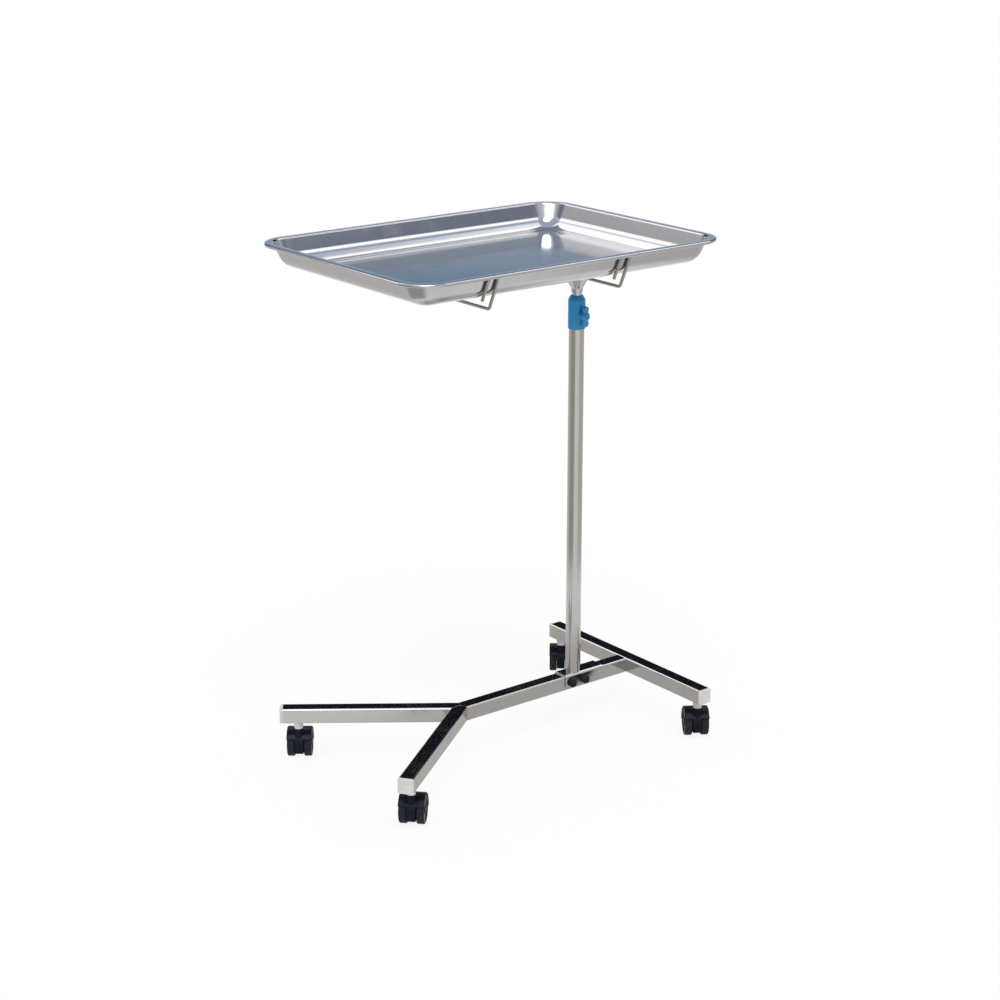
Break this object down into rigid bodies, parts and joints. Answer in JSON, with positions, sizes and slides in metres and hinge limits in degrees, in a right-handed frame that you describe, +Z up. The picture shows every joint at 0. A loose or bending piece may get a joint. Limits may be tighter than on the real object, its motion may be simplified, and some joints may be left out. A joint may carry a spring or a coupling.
{
  "type": "instrument table",
  "caption": "Height-adjustable instrument table: a lift-off steel tray on hooked rods over an off-centre telescopic post with a clamp knob, on a low tube base with castors.",
  "frame": {"origin": "on the floor, under the middle of the whole outline", "axes": "+Z up; +X from the forked end of the base towards the post and crossbar; +Y across, to the left of +X"},
  "size_m": [0.6448, 0.4441, 0.855],
  "materials": {
    "tray_steel": "polished pressed stainless sheet",
    "frame_steel": "polished stainless tube and sheet",
    "wire_steel": "polished stainless rod",
    "plated_steel": "zinc-plated steel",
    "blue_plastic": "moulded blue plastic, semi-gloss",
    "white_nylon": "moulded white nylon",
    "brass": "turned brass",
    "cap_plastic": "moulded light grey plastic",
    "black_cap_plastic": "moulded black plastic",
    "castor_plastic": "moulded black plastic, satin"
  },
  "bodies": {
    "base": {"centre_beam": "frame_steel", "fork_arm_back": "frame_steel", "fork_arm_front": "frame_steel", "crossbar": "frame_steel", "tube_end_caps": "cap_plastic", "castor_sockets": "plated_steel", "foot_saddle": "frame_steel", "saddle_bolts": "plated_steel", "saddle_nuts": "plated_steel", "bolt_caps": "black_cap_plastic", "foot_plug": "plated_steel", "foot_bolt": "plated_steel", "outer_tube": "frame_steel", "top_bush": "white_nylon", "clamp_collar": "blue_plastic", "clamp_insert": "brass", "clamp_pad": "white_nylon", "fork_back_castor_stem": "plated_steel", "fork_front_castor_stem": "plated_steel", "crossbar_front_castor_stem": "plated_steel", "crossbar_back_castor_stem": "plated_steel"},
    "clamp": {"wing_knob": "blue_plastic", "clamp_screw": "plated_steel"},
    "guide": {"guide_bush": "white_nylon"},
    "head": {"inner_tube": "frame_steel", "retainer_plug": "black_cap_plastic", "retaining_ring": "plated_steel", "stop_ring": "plated_steel", "stop_pin": "plated_steel", "support_cone": "frame_steel", "head_screws": "plated_steel", "head_nuts": "plated_steel", "tray_arm": "frame_steel", "arm_end_caps": "cap_plastic", "fork_side_hook_rod": "wire_steel", "post_side_hook_rod": "wire_steel"},
    "tray": {"tray": "tray_steel"},
    "fork_back_castor": {"fork_back_castor_hood": "castor_plastic", "fork_back_castor_axle": "plated_steel"},
    "fork_back_left_wheel": {"fork_back_castor_left_wheel": "castor_plastic"},
    "fork_back_right_wheel": {"fork_back_castor_right_wheel": "castor_plastic"},
    "fork_front_castor": {"fork_front_castor_hood": "castor_plastic", "fork_front_castor_axle": "plated_steel"},
    "fork_front_left_wheel": {"fork_front_castor_left_wheel": "castor_plastic"},
    "fork_front_right_wheel": {"fork_front_castor_right_wheel": "castor_plastic"},
    "crossbar_front_castor": {"crossbar_front_castor_hood": "castor_plastic", "crossbar_front_castor_axle": "plated_steel"},
    "crossbar_front_left_wheel": {"crossbar_front_castor_left_wheel": "castor_plastic"},
    "crossbar_front_right_wheel": {"crossbar_front_castor_right_wheel": "castor_plastic"},
    "crossbar_back_castor": {"crossbar_back_castor_hood": "castor_plastic", "crossbar_back_castor_axle": "plated_steel"},
    "crossbar_back_left_wheel": {"crossbar_back_castor_left_wheel": "castor_plastic"},
    "crossbar_back_right_wheel": {"crossbar_back_castor_right_wheel": "castor_plastic"}
  },
  "joints": [
    {"name": "height_slide", "type": "slide", "parent": "base", "child": "guide", "axis": [0, 0, 1], "range_m": [-0.005, 0.35]},
    {"name": "head_swivel", "type": "hinge", "parent": "guide", "child": "head", "pos_m": [0.15893, 0, 0.5], "axis": [0, 0, 1], "continuous": true},
    {"name": "clamp_turn", "type": "hinge", "parent": "base", "child": "clamp", "pos_m": [0.15893, -0.02, 0.712], "axis": [0, -1, 0], "range_deg": [0, 360]},
    {"name": "tray_lift", "type": "slide", "parent": "head", "child": "tray", "axis": [0, 0, 1], "range_m": [0, 0.15]},
    {"name": "fork_back_castor_swivel", "type": "hinge", "parent": "base", "child": "fork_back_castor", "pos_m": [-0.29207, 0.158, 0.05], "axis": [0, 0, 1], "continuous": true},
    {"name": "fork_back_left_wheel_spin", "type": "hinge", "parent": "fork_back_castor", "child": "fork_back_left_wheel", "pos_m": [-0.28283, 0.16982, 0.023], "axis": [-0.788, 0.6157, 0], "continuous": true},
    {"name": "fork_back_right_wheel_spin", "type": "hinge", "parent": "fork_back_castor", "child": "fork_back_right_wheel", "pos_m": [-0.28283, 0.16982, 0.023], "axis": [-0.788, 0.6157, 0], "continuous": true},
    {"name": "fork_front_castor_swivel", "type": "hinge", "parent": "base", "child": "fork_front_castor", "pos_m": [-0.29207, -0.158, 0.05], "axis": [0, 0, 1], "continuous": true},
    {"name": "fork_front_left_wheel_spin", "type": "hinge", "parent": "fork_front_castor", "child": "fork_front_left_wheel", "pos_m": [-0.28146, -0.14739, 0.023], "axis": [-0.7071, 0.7071, 0], "continuous": true},
    {"name": "fork_front_right_wheel_spin", "type": "hinge", "parent": "fork_front_castor", "child": "fork_front_right_wheel", "pos_m": [-0.28146, -0.14739, 0.023], "axis": [-0.7071, 0.7071, 0], "continuous": true},
    {"name": "crossbar_front_castor_swivel", "type": "hinge", "parent": "base", "child": "crossbar_front_castor", "pos_m": [0.28093, -0.18, 0.05], "axis": [0, 0, 1], "continuous": true},
    {"name": "crossbar_front_left_wheel_spin", "type": "hinge", "parent": "crossbar_front_castor", "child": "crossbar_front_left_wheel", "pos_m": [0.28932, -0.16756, 0.023], "axis": [-0.829, 0.5592, 0], "continuous": true},
    {"name": "crossbar_front_right_wheel_spin", "type": "hinge", "parent": "crossbar_front_castor", "child": "crossbar_front_right_wheel", "pos_m": [0.28932, -0.16756, 0.023], "axis": [-0.829, 0.5592, 0], "continuous": true},
    {"name": "crossbar_back_castor_swivel", "type": "hinge", "parent": "base", "child": "crossbar_back_castor", "pos_m": [0.28093, 0.18, 0.05], "axis": [0, 0, 1], "continuous": true},
    {"name": "crossbar_back_left_wheel_spin", "type": "hinge", "parent": "crossbar_back_castor", "child": "crossbar_back_left_wheel", "pos_m": [0.29058, 0.19149, 0.023], "axis": [-0.766, 0.6428, 0], "continuous": true},
    {"name": "crossbar_back_right_wheel_spin", "type": "hinge", "parent": "crossbar_back_castor", "child": "crossbar_back_right_wheel", "pos_m": [0.29058, 0.19149, 0.023], "axis": [-0.766, 0.6428, 0], "continuous": true}
  ]
}
